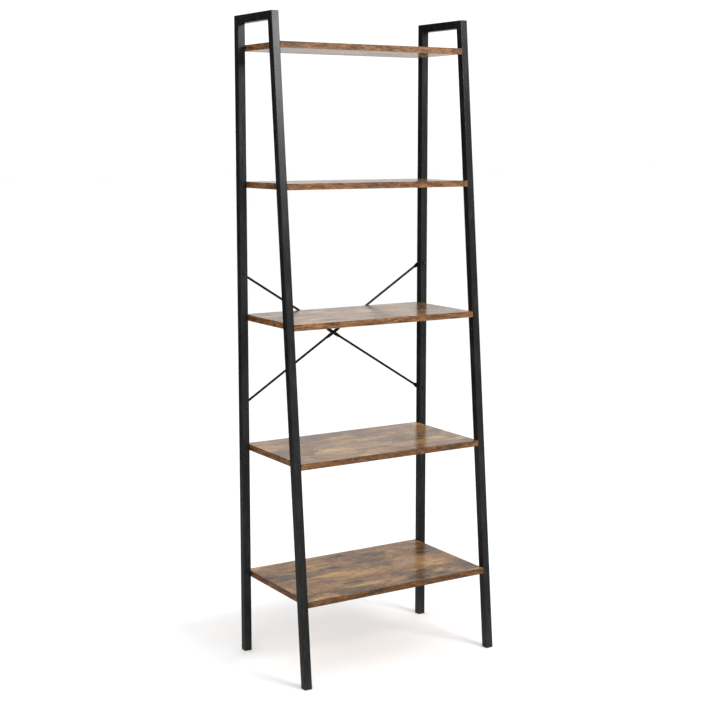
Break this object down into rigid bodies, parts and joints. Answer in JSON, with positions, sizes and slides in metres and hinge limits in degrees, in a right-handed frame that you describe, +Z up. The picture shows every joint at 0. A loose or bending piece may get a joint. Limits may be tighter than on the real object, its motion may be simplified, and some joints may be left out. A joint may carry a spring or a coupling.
{
  "type": "ladder shelf",
  "caption": "Free-standing open ladder shelf: square black steel tube side frames that lean in at the front, rustic brown boards between them and a crossed rod brace behind.",
  "frame": {"origin": "on the floor, in the middle of the object's width and depth", "axes": "+Z up, +X to the right of someone who faces the shelf, -Y towards its front"},
  "size_m": [0.5636, 0.3397, 1.6],
  "materials": {
    "frame_steel": "satin black powder coat on steel tube",
    "brace_steel": "satin black powder coat on steel rod",
    "black_screw": "black finished steel fasteners, slightly shiny",
    "sleeve_steel": "plain zinc plated steel, hidden inside",
    "rustic_board": "particle board faced with a semi-gloss rustic wood pattern",
    "edge_band": "warm brown wood-grain edge band, semi-gloss",
    "black_plastic": "matt black moulded plastic"
  },
  "bodies": {
    "root": {"left_rear_post_lower": "frame_steel", "left_rear_post_upper": "frame_steel", "left_front_post_lower": "frame_steel", "left_front_post_upper": "frame_steel", "left_top_rail": "frame_steel", "left_rear_joiner": "sleeve_steel", "left_rear_joint_screws": "black_screw", "left_rear_foot_plug": "black_plastic", "left_front_joiner": "sleeve_steel", "left_front_joint_screws": "black_screw", "left_front_foot_plug": "black_plastic", "right_rear_post_lower": "frame_steel", "right_rear_post_upper": "frame_steel", "right_front_post_lower": "frame_steel", "right_front_post_upper": "frame_steel", "right_top_rail": "frame_steel", "right_rear_joiner": "sleeve_steel", "right_rear_joint_screws": "black_screw", "right_rear_foot_plug": "black_plastic", "right_front_joiner": "sleeve_steel", "right_front_joint_screws": "black_screw", "right_front_foot_plug": "black_plastic", "shelf_1_board": "rustic_board", "shelf_1_edge_bands": "edge_band", "shelf_1_inserts": "sleeve_steel", "shelf_1_screws": "black_screw", "shelf_2_board": "rustic_board", "shelf_2_edge_bands": "edge_band", "shelf_2_inserts": "sleeve_steel", "shelf_2_screws": "black_screw", "shelf_3_board": "rustic_board", "shelf_3_edge_bands": "edge_band", "shelf_3_inserts": "sleeve_steel", "shelf_3_screws": "black_screw", "shelf_4_board": "rustic_board", "shelf_4_edge_bands": "edge_band", "shelf_4_inserts": "sleeve_steel", "shelf_4_screws": "black_screw", "shelf_5_board": "rustic_board", "shelf_5_edge_bands": "edge_band", "shelf_5_inserts": "sleeve_steel", "shelf_5_screws": "black_screw", "brace_rod_rising_right": "brace_steel", "brace_rod_rising_left": "brace_steel", "brace_end_bolts": "black_screw", "brace_end_nuts": "black_screw", "brace_centre_bolt": "black_screw", "brace_centre_nut": "black_screw"}
  },
  "joints": []
}
